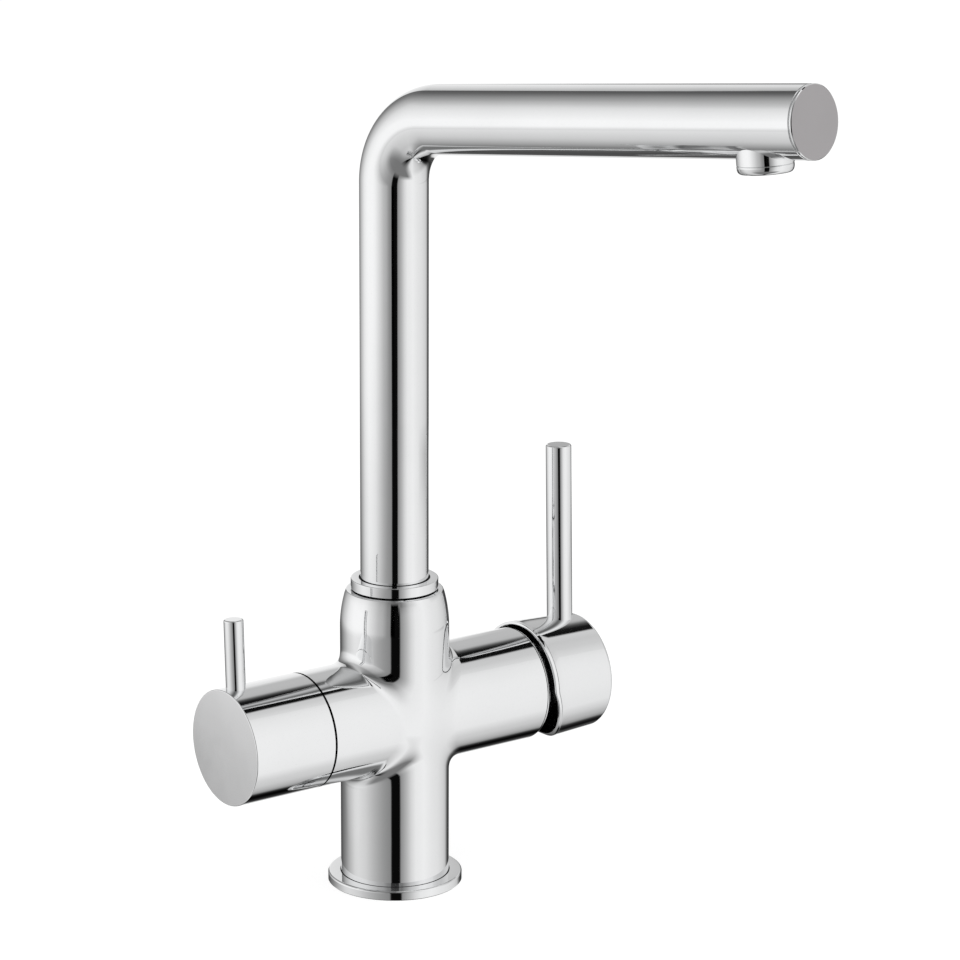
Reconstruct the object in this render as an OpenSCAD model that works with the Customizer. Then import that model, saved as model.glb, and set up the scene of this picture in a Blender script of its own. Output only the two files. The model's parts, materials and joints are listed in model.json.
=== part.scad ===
// Three way filtered water tap: a mixer lever on one side of a cross shaped casting,
// a filtered water knob on the other, and an L shaped spout that swivels on top.
// The origin is the centre of the underside on the worktop. The user stands on the
// -Y side, the mixer lever is on +X and the filter knob on -X.

/* [Body casting] */
// Diameter of the upright column
column_d = 45; // [44:0.25:45.25]
// Height of the casting's top face above the worktop
body_h = 126; // [122:1:132]
// Diameter of the cross barrel
barrel_d = 45.5; // [45.5:0.25:47]
// Height of the cross barrel's axis above the worktop
barrel_h = 73.5; // [66:0.5:74]
// Reach of the casting from the column's axis on the filter side
filter_reach = 45.1; // [43:0.5:50]
// Reach of the casting from the column's axis on the mixer side
mixer_reach = 63.9; // [62:0.5:70]
// Rounding at the mixer end of the barrel
barrel_round = 2.2; // [1:0.2:2.4]
// Width of the cast blend between barrel and column
cast_blend = 5; // [3:0.5:6]
// How far the column draws in at its shoulder
shoulder_w = 2.4; // [2:0.2:3.2]
// Height over which the shoulder draws in
shoulder_h = 16; // [10:1:18]

/* [Base] */
// Diameter of the base flange
flange_d = 55.8; // [53:0.5:60]
// Thickness of the base flange
flange_h = 4; // [3.5:0.25:6]
// Rounding on the flange's top edge
flange_round = 0.9; // [0.5:0.1:1.2]
// Width of the gasket set into the flange's underside
gasket_w = 2.6; // [2:0.2:2.8]
// Height of the gasket
gasket_h = 1.8; // [1.2:0.2:2]
// Pitch circle diameter of the holes in the underside
inlet_pcd = 24; // [23:0.5:25]
// Tapping bore of the three M10 x 1 hose inlets
inlet_bore_d = 9; // [8.5:0.1:9.2]
// Depth of the hose inlets
inlet_depth = 14; // [11:1:16]
// Tapping bore of the M8 fixing stud hole
stud_bore_d = 6.8; // [6:0.1:7]
// Depth of the fixing stud hole
stud_depth = 16; // [12:1:20]
// Bore of the water passages
passage_d = 6; // [5:0.25:6.5]

/* [Spout] */
// Outer diameter of the spout tube
tube_d = 28; // [27:0.25:28.25]
// Wall of the spout tube
tube_wall = 1.2; // [1:0.1:1.4]
// Height at which the arm's axis meets the column's axis
arm_h = 320.1; // [280:2:360]
// Length of the arm from the column's axis to the face of its end cap
arm_l = 211.2; // [190:2:230]
// Rise of the arm above level, in degrees
arm_rise = 6.4; // [0:0.4:12]
// Turn of the arm from straight ahead towards the mixer side, in degrees
arm_turn = 11; // [0:1:30]
// Centre line radius of the bend
bend_r = 28; // [24:1:36]
// Thickness of the end cap's disc
cap_h = 0.9; // [0.8:0.1:2.4]
// Width of the shadow groove behind the end cap
cap_groove = 0.5; // [0.4:0.1:1]
// Chamfer on the end cap's rim
cap_chamfer = 0.3; // [0.2:0.1:0.5]
// Bevel on the end of the spout tube
tube_bevel = 0.5; // [0.3:0.1:0.8]
// Distance of the outlet's axis from the face of the end cap, along the arm
outlet_inset = 24.2; // [23:0.5:45]
// Diameter of the outlet boss and the aerator
outlet_d = 21.5; // [20.5:0.25:22.5]
// Drop of the outlet boss's lower face below the arm's axis
outlet_drop = 15.5; // [15:0.25:18]
// Height of the aerator's ring below the boss
aerator_h = 3.2; // [2.8:0.2:4]
// Outer diameter of the collar that holds the spout down
collar_d = 36; // [35.5:0.25:37.5]
// Height of the collar above the casting
collar_h = 4.8; // [4:0.2:7]
// Outer diameter of the hose that carries filtered water up the spout
hose_d = 8; // [7:0.25:8.5]
// Bore of the filtered water hose
hose_bore_d = 6; // [5:0.25:6]

/* [Filter knob] */
// Reach of the knob's face from the column's axis
knob_reach = 84.2; // [82:0.5:90]
// Gap between the knob and the casting
knob_gap = 0.8; // [0.6:0.1:1.5]
// Wall of the knob
knob_wall = 1.8; // [1.4:0.1:2.2]
// Thickness of the knob's face
knob_face_t = 3; // [2:0.25:4]
// Diameter of the filter lever
filter_lever_d = 8; // [7:0.25:9]
// Distance of the filter lever's axis from the knob's face
filter_lever_inset = 6.8; // [6:0.2:8]
// Height of the filter lever's tip above the barrel's axis
filter_lever_reach = 52.4; // [45:1:60]
// Lean of the filter lever back from upright when closed, in degrees
filter_lever_lean = 2.4; // [0:0.4:4]
// Diameter of the valve spindle
spindle_d = 8; // [7.5:0.25:8.5]

/* [Mixer handle] */
// Gap along the barrel between the casting's end and the cup's rim
cup_gap = 0.7; // [0.6:0.1:2]
// Reach of the cup's end from the column's axis
cup_reach = 96; // [94:0.5:100]
// Outer diameter of the cup at its rim
cup_rim_d = 51.8; // [51.2:0.2:54]
// Outer diameter of the cup at its end
cup_end_d = 49; // [47.5:0.5:50.5]
// Wall of the cup
cup_wall = 1.5; // [1.3:0.1:1.7]
// Rounding on the cup's end
cup_round = 1.6; // [1:0.2:2]
// Depth of the slanted relief at the bottom of the cup's rim
relief_depth = 12; // [8:0.5:13]
// Diameter of the mixer lever
mixer_lever_d = 10.8; // [10:0.2:11.4]
// Distance of the mixer lever's axis from the cup's end
mixer_lever_inset = 9.6; // [9:0.2:11]
// Height of the mixer lever's tip above the barrel's axis
mixer_lever_reach = 100; // [85:1:120]
// Lean of the mixer lever back from upright when closed, in degrees
mixer_lever_lean = 1.4; // [0:0.2:3]

/* [Mixer cartridge] */
// Distance of the lever's pivot inside the barrel's end
pivot_inset = 1.9; // [1.5:0.1:3]
// Outer diameter of the cartridge
cartridge_d = 35; // [34:0.5:36]
// Length of the stem's inner arm, from the pivot to its ball
inner_arm = 10; // [9.5:0.5:10.5]
// Radius of the stem's ball
ball_r = 3; // [2.6:0.1:3.1]
// Side of the square stem
stem_side = 8; // [7:0.25:8.5]
// Diameter of the pivot pin
pivot_pin_d = 3; // [2.5:0.25:3.5]
// Largest tilt of the lever, in degrees
flow_angle = 25; // [20:1:25]

/* [Hidden] */
$fn = 96;

// Clearance of every turning or sliding fit, on the radius or on the face
running = 0.05;
// Clearance of every fixed fit
seat = 0.02;
// How far a cut runs past the face that it opens
overrun = 1;

column_r = column_d / 2;
barrel_r = barrel_d / 2;
tube_r = tube_d / 2;
tube_bore_r = tube_r - tube_wall;
collar_r = collar_d / 2;
outlet_r = outlet_d / 2;
passage_r = passage_d / 2;
inlet_r = inlet_pcd / 2;

// Depth that the blend's facets are sunk below the surfaces that they meet
blend_sink = 0.04;
// Steps of the blend around a limb of the casting, and across half of its width
blend_turns = 48;
blend_rows = 5;
// Steps of every rounded outline
round_steps = 6;

// Shares that tie inner parts to the sizes of the parts that hold them
bush_bore_share = 0.75;
boss_bore_share = 0.78;
tail_share = 0.6;
pin_share = 0.85;
port_spread_share = 0.9;
rising_bore_share = 0.7;
disc_port_start_share = 0.25;
half_share = 0.5;
hex_socket_share = 0.55;
aerator_round_share = 0.8;

// Heights in the spout's socket
collar_skirt_h = 9;
collar_skirt_r = collar_r - shoulder_w / 2;
skirt_foot_z = body_h - collar_skirt_h;
glide_t = 0.9;
bush_flange_t = 3;
bush_flange_top = skirt_foot_z - glide_t - 2 * running;
bush_flange_foot = bush_flange_top - bush_flange_t;
socket_shelf_z = bush_flange_foot - glide_t - 2 * running;
socket_r = tube_r + tube_wall / 2;
bush_r = socket_r - 2 * running;
bush_l = 19;
bush_foot_z = socket_shelf_z - bush_l;
socket_floor_z = bush_foot_z - overrun;
spigot_l = 14;
bush_bore_r = tube_bore_r * bush_bore_share;
o_ring_r = 1.1;
o_ring_groove_w = 2.6;
o_ring_groove_depth = 2 * o_ring_r + running;
o_ring_count = 2;
o_ring_pitch = 6.5;
nipple_r = hose_bore_d / 2 - 2 * running;
nipple_bore_r = nipple_r / 2;
nipple_stand = 9;
nipple_root = 4;
hose_r = hose_d / 2;
hose_foot_z = socket_floor_z + 2 * overrun;
hose_elbow_r = 9;
hose_clear_of_aerator = 1.5;

// Lengths along the arm
bend_angle = 90 - arm_rise;
bend_l = bend_r * tan(bend_angle / 2);
bend_lap = 0.6;
lap_sink = 0.05;
tube_end_s = arm_l - cap_h - cap_groove;
outlet_s = arm_l - outlet_inset;
cap_spigot_l = 4;
cap_neck_r = tube_r - tube_wall / 2;

// Outlet and aerator
boss_bore_r = outlet_r * boss_bore_share;
thread_depth = 2.6;
aerator_taper = 1.4;
aerator_flange_t = 1;
insert_h = 3;
insert_pitch = 2.1;
insert_hole_r = 0.6;
washer_t = 0.8;

// Filter valve, along the barrel's axis towards -X
valve_thread_r = 10.4;
valve_socket_l = 21;
valve_floor = filter_reach - valve_socket_l;
valve_bore_r = 8.6;
valve_seal_t = 2;
valve_disc_t = 3;
valve_disc_r = valve_bore_r - 2 * running;
valve_seal_x = valve_floor + running;
fixed_disc_x = valve_seal_x + valve_seal_t + running;
moving_disc_x = fixed_disc_x + valve_disc_t + running;
spindle_foot_x = moving_disc_x + valve_disc_t + running;
spindle_foot_t = 4;
valve_cavity_x = spindle_foot_x + spindle_foot_t + 2 * running;
hex_t = 5;
hex_flats = 24;
neck_l = 7;
neck_r = valve_bore_r;
neck_end = filter_reach + hex_t + neck_l;
spindle_r = spindle_d / 2;
spline_r = spindle_r - 2 * running;
spline_teeth = 20;
spline_depth = 0.4;
spline_l = 15;
spline_gap = 3;
spline_x = neck_end + spline_gap;
knob_start = filter_reach + knob_gap;
knob_bore_r = barrel_r - knob_wall;
knob_floor = knob_reach - knob_face_t;
knob_hub_r = spindle_r * 2;
knob_edge = 0.4;
filter_lever_x = knob_reach - filter_lever_inset;
filter_lever_r = filter_lever_d / 2;
filter_tail_r = filter_lever_r * tail_share;
filter_lever_seat = knob_bore_r - 2 * knob_wall;
filter_lever_bevel = 0.7;
knob_screw_r = 2;
knob_screw_l = 6;
knob_screw_x = spline_x + spline_l / 2;
window_w = 5;
window_h = 7;

// Mixer cartridge, along the barrel's axis towards +X
pivot_x = mixer_reach - pivot_inset;
ball_x = pivot_x - inner_arm;
moving_mixer_t = 4.5;
fixed_mixer_t = 4;
moving_mixer_top = ball_x - ball_r - overrun;
moving_mixer_x = moving_mixer_top - moving_mixer_t;
fixed_mixer_x = moving_mixer_x - running - fixed_mixer_t;
housing_base_t = 2.6;
housing_x = fixed_mixer_x - housing_base_t;
seal_stand = 1;
chamber_floor = housing_x - seal_stand;
cartridge_r = cartridge_d / 2;
chamber_r = cartridge_r + 4 * running;
cartridge_wall = 1.9;
cartridge_bore_r = cartridge_r - cartridge_wall;
nut_inset = 6;
nut_x = pivot_x - nut_inset;
nut_thread_r = chamber_r + cartridge_wall;
housing_neck_r = cartridge_r - 2 * cartridge_wall;
housing_neck_wall = 1.4;
turret_r = housing_neck_r - housing_neck_wall - running;
turret_bore_r = turret_r + running;
turret_inset = 7;
turret_stand = 4;
housing_inset = 2;
turret_x = pivot_x - turret_inset;
turret_top = pivot_x + turret_stand;
housing_end = pivot_x - housing_inset;
slider_travel = inner_arm * flow_angle * PI / 180;
slider_clear = 0.4;
moving_mixer_r = cartridge_bore_r - slider_travel - slider_clear;
pocket_clear = 0.4;
pocket_r = ball_r + pocket_clear;
pocket_wall = 2.4;
pocket_l = 5.8;
stem_neck_r = 2.2;
stem_knuckle_r = 5;
stem_slot_w = 2 * stem_knuckle_r + 2 * slider_clear;
stem_slot_h = 2 * stem_side;
pin_l = 2 * (turret_r - 2 * seat) * pin_share;
dome_r = nut_thread_r - 4 * running;
dome_t = 1.2;
dome_mouth_r = 13.6;
dome_inset = 1.2;
dome_foot_x = mixer_reach - dome_inset;
port_r = 2.6;
port_pcd_r = 8.6;
port_spread = port_pcd_r * port_spread_share;
port_places = [[port_pcd_r / 2, port_spread], [port_pcd_r / 2, -port_spread], [-port_pcd_r, 0]];
seal_r = 1;

// Mixer handle
rim_x = mixer_reach + cup_gap;
cup_rim_r = cup_rim_d / 2;
cup_end_r = cup_end_d / 2;
cup_floor = cup_reach - 2 * cup_wall;
hub_stand = 1.2;
hub_x = pivot_x + dome_r + hub_stand;
hub_r = stem_side;
stem_end = cup_floor - overrun;
mixer_lever_x = cup_reach - mixer_lever_inset;
mixer_lever_r = mixer_lever_d / 2;
lever_tail_r = 3;
lever_pad_r = mixer_lever_r + cup_wall;
lever_pad_l = 9;
lever_pad_foot = cup_end_r - lever_pad_l;
lever_seat = lever_pad_foot + cup_wall;
lever_bevel = 0.8;
grub_r = 2.5;
grub_l = 6;
grub_x = (hub_x + stem_end) / 2;
// The relief starts a little above the cup's axis, runs down as a slant and deepens at
// the bottom, as a power of the way down
relief_start = 1.5;
slant_share = 0.69;
relief_power = 8;
relief_steps = 14;

// Round bar and round hole along Z, and along the barrel's axis
module rod_z(z0, z1, r) {
    translate([0, 0, z0])
        cylinder(h = z1 - z0, r = r);
}
module ring_z(z0, z1, r_out, r_in) {
    difference() {
        rod_z(z0, z1, r_out);
        rod_z(z0 - overrun, z1 + overrun, r_in);
    }
}
module on_barrel() {
    translate([0, 0, barrel_h])
        rotate([0, 90, 0])
            children();
}
module rod_x(x0, x1, r) {
    on_barrel()
        rod_z(x0, x1, r);
}
module ring_x(x0, x1, r_out, r_in) {
    on_barrel()
        ring_z(x0, x1, r_out, r_in);
}
// The filter side is the same construction seen from the other end of the barrel
module on_filter() {
    translate([0, 0, barrel_h])
        rotate([0, -90, 0])
            children();
}
// The arm's own frame: Z runs along the arm and X points down out of the outlet
module on_arm(s = 0) {
    rotate([0, 0, arm_turn - 90])
        translate([0, 0, arm_h])
            rotate([0, bend_angle, 0])
                translate([0, 0, s])
                    children();
}
// Outline of a rod's tip with a rounded edge, for turning: [radius, length]
function rounded_tip(r, l, round) =
    [for (i = [0 : round_steps])
        let (a = 90 * i / round_steps)
        [r - round * (1 - cos(a)), l - round * (1 - sin(a))]];
// Turned rod that stands on Z = foot with a rounded tip
module tipped_rod(foot, tip, r, round) {
    rotate_extrude()
        polygon(concat([[0, foot], [r, foot]], rounded_tip(r, tip, round), [[0, tip]]));
}

// The blend between column and barrel: wherever the two surfaces are less than
// cast_blend apart, both stand out from their bores. The lead is how much further a
// point is from the column than from the barrel, and runs from -cast_blend to cast_blend.
function blend_rise(lead) = pow(max(cast_blend - abs(lead), 0), 2) / (4 * cast_blend);
function column_now(lead) = column_r - blend_sink + blend_rise(lead) + max(lead, 0);
function barrel_now(lead) = barrel_r - blend_sink + blend_rise(lead) + max(-lead, 0);
// Point on the blend, round the limb that is the nearer one
function blend_point(turn, lead) =
    let (a = column_now(lead), b = barrel_now(lead), y = min(a, b) * sin(turn),
         x = sqrt(max(a * a - y * y, 0)), z = sqrt(max(b * b - y * y, 0)))
    [x * (cos(turn) < 0 ? -1 : 1), y, z];
// Bands run from a limb's plain surface to the saddle line that all four limbs share.
// Limbs: 0 up, 1 down, 2 mixer side, 3 filter side
function band_point(limb, turn, row) =
    let (saddle = barrel_r - column_r, edge = limb < 2 ? -cast_blend : cast_blend,
         p = blend_point(turn, edge + (saddle - edge) * row / blend_rows))
    limb == 0 ? p : limb == 1 ? [p.x, p.y, -p.z] :
    let (q = blend_point(turn, edge + (saddle - edge) * row / blend_rows),
         upright = cos(turn) < 0 ? -q.z : q.z)
    limb == 2 ? [abs(q.x), q.y, upright] : [-abs(q.x), q.y, upright];
module cast_blend_shape() {
    n = blend_turns;
    quarter = n / 4;
    band = n * blend_rows;
    points = concat([for (limb = [0 : 3], row = [0 : blend_rows - 1], i = [0 : n - 1])
                        band_point(limb, 360 * i / n, row)],
                    [for (limb = [0 : 1], i = [0 : n - 1]) band_point(limb, 360 * i / n, blend_rows)],
                    [[0, 0, barrel_r], [0, 0, -barrel_r], [column_r, 0, 0], [-column_r, 0, 0]]);
    saddles = 4 * band;
    tips = saddles + 2 * n;
    function is_pole(i) = i % (2 * quarter) == quarter;
    function lower(i) = is_pole(i) ? saddles + i : saddles + n + i;
    function facing(i) = (n / 2 - i + n) % n;
    function upright(i) = i <= quarter || i >= 3 * quarter;
    function saddle_index(limb, i) =
        limb == 0 ? saddles + i
        : limb == 1 ? lower(i)
        : limb == 2 ? (upright(i) ? saddles + i : lower(facing(i)))
        : (upright(i) ? saddles + facing(i) : lower(i));
    function index(limb, row, i) =
        row == blend_rows ? saddle_index(limb, i % n) : limb * band + row * n + i % n;
    function outward(limb, face) =
        limb == 1 || limb == 2 ? [face[2], face[1], face[0]] : face;
    faces = [for (limb = [0 : 3], i = [0 : n - 1])
                each concat([outward(limb, [tips + limb, index(limb, 0, i + 1), index(limb, 0, i)])],
                            [for (row = [0 : blend_rows - 1])
                                let (a = index(limb, row, i), b = index(limb, row, i + 1),
                                     c = index(limb, row + 1, i + 1), d = index(limb, row + 1, i))
                                each [outward(limb, [a, b, c]), outward(limb, [a, c, d])]])];
    polyhedron(points, faces);
}

// One casting: column, cross barrel and the blend between them
module casting_shape() {
    rotate_extrude()
        polygon(concat([[0, 0], [column_r, 0]],
                       [for (i = [0 : round_steps])
                           let (a = 90 * i / round_steps)
                           [column_r - shoulder_w * (1 - cos(a)),
                            body_h - shoulder_h * (1 - sin(a))]],
                       [[0, body_h]]));
    on_barrel()
        rotate_extrude()
            polygon(concat([[0, -filter_reach], [barrel_r, -filter_reach]],
                           rounded_tip(barrel_r, mixer_reach, barrel_round), [[0, mixer_reach]]));
    translate([0, 0, barrel_h])
        cast_blend_shape();
}
// Chambers turned into the casting from its three ends
module casting_chambers() {
    rod_z(skirt_foot_z - glide_t - bush_flange_t - glide_t - 4 * running,
          body_h + overrun, collar_skirt_r + seat);
    rod_z(socket_floor_z, body_h, socket_r);
    rod_x(chamber_floor, mixer_reach + overrun, chamber_r);
    rod_x(nut_x, mixer_reach + overrun, nut_thread_r);
    rod_x(-filter_reach - overrun, -valve_floor, valve_thread_r + seat);
}
// Drilled water ways: hot, cold and filtered water in, mixed and filtered water out
module casting_passages() {
    rise = port_pcd_r / 2;
    for (side = [-1, 1]) {
        translate([0, side * inlet_r, 0])
            rod_z(0, barrel_h - rise, passage_r);
        translate([0, side * port_pcd_r * port_spread_share, -rise])
            rod_x(0, chamber_floor + overrun, passage_r);
    }
    translate([-inlet_r, 0, 0])
        rod_z(0, barrel_h, passage_r);
    rod_x(-valve_floor - overrun, -inlet_r, passage_r);
    translate([0, 0, port_pcd_r])
        rod_x(passage_d, chamber_floor + overrun, passage_r);
    translate([passage_d + passage_r / 2, 0, 0])
        rod_z(barrel_h + port_pcd_r, socket_floor_z + overrun, passage_r);
    nipple_foot_z = socket_floor_z - nipple_root;
    translate([0, 0, nipple_foot_z])
        cylinder(h = nipple_root + overrun, r = nipple_r + seat);
    drop = nipple_foot_z - barrel_h - valve_thread_r * rising_bore_share;
    run = valve_floor + window_w;
    translate([0, 0, nipple_foot_z])
        rotate([0, -90 - atan(drop / run), 0])
            cylinder(h = sqrt(run * run + drop * drop), r = nipple_bore_r);
}
// Holes in the underside: three hose inlets and the fixing stud
module underside_holes() {
    for (turn = [90, 180, 270])
        rotate([0, 0, turn])
            translate([inlet_r, 0, 0])
                rod_z(-overrun, inlet_depth, inlet_bore_d / 2);
    translate([inlet_r, 0, 0])
        rod_z(-overrun, stud_depth, stud_bore_d / 2);
}
module tap_body() {
    color("silver")
        difference() {
            casting_shape();
            casting_chambers();
            casting_passages();
            underside_holes();
        }
}

// Turned ring round the foot of the column, with a groove for its gasket
flange_r = flange_d / 2;
gasket_r = (column_r + flange_r) / 2;
module base_flange() {
    color("silver")
        difference() {
            tipped_rod(0, flange_h, flange_r, flange_round);
            rod_z(-overrun, flange_h + overrun, column_r + seat);
            ring_z(-overrun, gasket_h + seat, gasket_r + gasket_w / 2 + seat,
                   gasket_r - gasket_w / 2 - seat);
        }
}
module base_gasket() {
    color("dimgray")
        ring_z(0, gasket_h, gasket_r + gasket_w / 2, gasket_r - gasket_w / 2);
}

// Screwed ring that holds the spout down and guides its tube
module spout_collar() {
    color("silver")
        difference() {
            union() {
                tipped_rod(body_h, body_h + collar_h, collar_r, cap_chamfer);
                rod_z(skirt_foot_z, body_h + seat, collar_skirt_r);
            }
            rod_z(skirt_foot_z - overrun, body_h + collar_h + overrun, tube_r + running);
        }
}
// Brass nipple on the socket's floor, on which the filtered water hose turns
module filtered_water_nipple() {
    color("gold")
        ring_z(socket_floor_z - nipple_root + seat, socket_floor_z + nipple_stand,
               nipple_r, nipple_bore_r);
}

// A round pipe through the spout: up the column, round the bend, along the arm.
// The straights lap into the bend's ends, whose section is finer by the lap's sink.
module spout_pipe(r_out, r_in, foot_z, end_s) {
    rotate([0, 0, arm_turn - 90]) {
        ring_end_z(foot_z, arm_h - bend_l + bend_lap, r_out, r_in);
        translate([bend_r, 0, arm_h - bend_l])
            pipe_bend(bend_r, 90 + arm_rise, bend_angle, r_out - lap_sink, r_in + lap_sink);
    }
    on_arm(bend_l - bend_lap)
        ring_end_z(0, end_s - bend_l + bend_lap, r_out, r_in);
}
// Straight pipe made by extruding its section, so that its ends are plain rings
module ring_end_z(z0, z1, r_out, r_in) {
    translate([0, 0, z0])
        linear_extrude(height = z1 - z0)
            pipe_section(r_out, r_in);
}
module pipe_section(r_out, r_in) {
    difference() {
        circle(r = r_out);
        circle(r = r_in);
    }
}
// Bend of a pipe in the XZ plane, about the origin, from the angle start
module pipe_bend(centre_r, start, sweep, r_out, r_in) {
    rotate([90, 0, 0])
        rotate([0, 0, start])
            rotate_extrude(angle = sweep)
                translate([centre_r, 0])
                    pipe_section(r_out, r_in);
}
module outlet_rod(d0, d1, r) {
    on_arm(outlet_s)
        rotate([0, 90, 0])
            rod_z(d0, d1, r);
}
module spout_tube() {
    color("silver")
        difference() {
            spout_pipe(tube_r, tube_bore_r, bush_flange_top + seat, tube_end_s);
            outlet_rod(0, outlet_drop, boss_bore_r);
            on_arm(tube_end_s)
                rotate_extrude()
                    polygon([[tube_r + overrun, -tube_bevel - overrun], [tube_r + overrun, overrun],
                             [tube_r - tube_bevel - overrun, overrun]]);
        }
}
// Disc that closes the arm, held by a spigot, with a shadow groove behind its rim
module spout_end_cap() {
    color("lightgray")
        on_arm()
            rotate_extrude()
                polygon([[0, tube_end_s - cap_spigot_l], [tube_bore_r - seat, tube_end_s - cap_spigot_l],
                         [tube_bore_r - seat, tube_end_s + seat], [cap_neck_r, tube_end_s + seat],
                         [cap_neck_r, arm_l - cap_h], [tube_r, arm_l - cap_h],
                         [tube_r, arm_l - cap_chamfer], [tube_r - cap_chamfer, arm_l], [0, arm_l]]);
}
// Short threaded boss saddled to the underside of the arm
module outlet_boss() {
    color("silver")
        difference() {
            outlet_rod(0, outlet_drop, outlet_r);
            outlet_rod(-overrun, outlet_drop + overrun, boss_bore_r);
            on_arm(outlet_s - outlet_d)
                rod_z(0, 2 * outlet_d, tube_r + seat);
        }
}
// Side of the aerator's ring, rounded over its lower part
function aerator_side(foot) =
    [for (i = [0 : round_steps])
        let (a = 90 * i / round_steps)
        [outlet_r - aerator_taper * (1 - cos(a)), foot - aerator_h * aerator_round_share * (1 - sin(a))]];
// Screwed chrome ring of the aerator, its foot drawn in below a shadow line
module aerator_housing() {
    foot = outlet_drop + aerator_h;
    color("silver")
        on_arm(outlet_s)
            rotate([0, 90, 0])
                difference() {
                    rotate_extrude()
                        polygon([[0, outlet_drop - thread_depth],
                                 [boss_bore_r - seat, outlet_drop - thread_depth],
                                 [boss_bore_r - seat, outlet_drop + seat], [outlet_r, outlet_drop + seat],
                                 each aerator_side(foot), [0, foot]]);
                    rod_z(outlet_drop - thread_depth - overrun, foot - aerator_flange_t,
                          boss_bore_r - aerator_flange_t);
                    rod_z(outlet_drop, foot + overrun, boss_bore_r - 2 * aerator_flange_t);
                }
}
// Plastic jet insert: a disc pierced by a grid of fine holes
module aerator_insert() {
    foot = outlet_drop + aerator_h - aerator_flange_t - seat;
    reach = floor((boss_bore_r - 2 * aerator_flange_t) / insert_pitch) - 1;
    color("whitesmoke")
        on_arm(outlet_s)
            rotate([0, 90, 0])
                difference() {
                    rod_z(foot - insert_h, foot, boss_bore_r - aerator_flange_t - seat);
                    for (i = [-reach : reach], j = [-reach : reach])
                        if (norm([i, j]) <= reach + 0.5)
                            translate([i * insert_pitch, j * insert_pitch, 0])
                                rod_z(foot - insert_h - overrun, foot + overrun, insert_hole_r);
                }
}
module aerator_washer() {
    top = outlet_drop - thread_depth;
    color("dimgray")
        on_arm(outlet_s)
            rotate([0, 90, 0])
                ring_z(top - washer_t - seat, top - seat,
                       boss_bore_r - seat, boss_bore_r - 2 * aerator_flange_t);
}
// Hose that keeps filtered water apart from mixed water all the way to the aerator
module filtered_water_hose() {
    color("white") {
        spout_pipe(hose_r, hose_bore_d / 2, hose_foot_z, outlet_s - hose_elbow_r + bend_lap);
        on_arm(outlet_s - hose_elbow_r)
            translate([hose_elbow_r, 0, 0])
                pipe_bend(hose_elbow_r, 90, 90, hose_r - lap_sink, hose_bore_d / 2 + lap_sink);
        on_arm(outlet_s)
            rotate([0, 90, 0])
                ring_end_z(hose_elbow_r - bend_lap, outlet_drop - thread_depth - hose_clear_of_aerator,
                           hose_r, hose_bore_d / 2);
    }
}

// Brass bush in the foot of the spout tube, turning in the casting's socket
module spout_bush() {
    color("goldenrod")
        difference() {
            union() {
                rod_z(bush_foot_z, bush_flange_foot + seat, bush_r);
                rod_z(bush_flange_foot, bush_flange_top, collar_skirt_r - 2 * running);
                rod_z(bush_flange_top - seat, bush_flange_top + spigot_l, tube_bore_r - seat);
            }
            rod_z(bush_foot_z - overrun, bush_flange_top + spigot_l + overrun, bush_bore_r);
            for (i = [0 : o_ring_count - 1])
                translate([0, 0, o_ring_z(i)])
                    ring_z(-o_ring_groove_w / 2, o_ring_groove_w / 2, bush_r + overrun,
                           bush_r - o_ring_groove_depth);
        }
}
function o_ring_z(i) = bush_foot_z + o_ring_pitch * (i + 1) - o_ring_pitch / 3;
module spout_o_rings() {
    color("black")
        for (i = [0 : o_ring_count - 1])
            translate([0, 0, o_ring_z(i)])
                rotate_extrude()
                    translate([bush_r - o_ring_r, 0])
                        circle(r = o_ring_r);
}
module spout_glide_rings() {
    color("whitesmoke")
        for (z = [socket_shelf_z + running, bush_flange_top + running])
            ring_z(z, z + glide_t, collar_skirt_r - 2 * running, socket_r + running);
}

// Quarter turn ceramic valve, screwed into the filter end of the barrel
module filter_headwork() {
    color("goldenrod")
        on_filter()
            difference() {
                union() {
                    rod_z(valve_floor + valve_seal_t, filter_reach + seat, valve_thread_r);
                    rod_z(filter_reach, neck_end, neck_r);
                    translate([0, 0, filter_reach])
                        cylinder(h = hex_t, d = hex_flats / cos(30), $fn = 6);
                }
                rod_z(valve_floor, valve_cavity_x, valve_bore_r);
                rod_z(valve_floor, neck_end + overrun, spindle_r + running);
                translate([-valve_thread_r - overrun, -window_h / 2, moving_disc_x])
                    cube([2 * valve_thread_r + 2 * overrun, window_h, window_w]);
            }
}
module filter_valve_seal() {
    color("black")
        on_filter()
            ring_z(valve_seal_x, valve_seal_x + valve_seal_t, valve_disc_r, valve_disc_r - valve_seal_t);
}
// Ceramic disc with two opposite quarter openings
module ported_disc(x0, t, r, turn) {
    on_filter()
        difference() {
            rod_z(x0, x0 + t, r);
            for (a = [turn, turn + 180])
                rotate([0, 0, a])
                    translate([0, 0, x0 - overrun])
                        rotate_extrude(angle = 60)
                            translate([r * disc_port_start_share, 0])
                                square([r * half_share, t + 2 * overrun]);
        }
}
module filter_fixed_disc() {
    color("white")
        ported_disc(fixed_disc_x, valve_disc_t, valve_disc_r, 0);
}
module filter_moving_disc() {
    color("ivory")
        ported_disc(moving_disc_x, valve_disc_t, valve_disc_r - running, 90);
}
// Outline of a fine toothed spline
function spline_points(r, grow) =
    [for (i = [0 : 2 * spline_teeth - 1])
        let (a = 180 * i / spline_teeth, q = r + grow - (i % 2) * spline_depth)
        [q * cos(a), q * sin(a)]];
module filter_spindle() {
    color("goldenrod")
        on_filter() {
            rod_z(spindle_foot_x, spindle_foot_x + spindle_foot_t, valve_disc_r - running);
            rod_z(spindle_foot_x, spline_x + seat, spindle_r);
            translate([0, 0, spline_x])
                linear_extrude(height = spline_l)
                    polygon(spline_points(spline_r, 0));
        }
}
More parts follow.
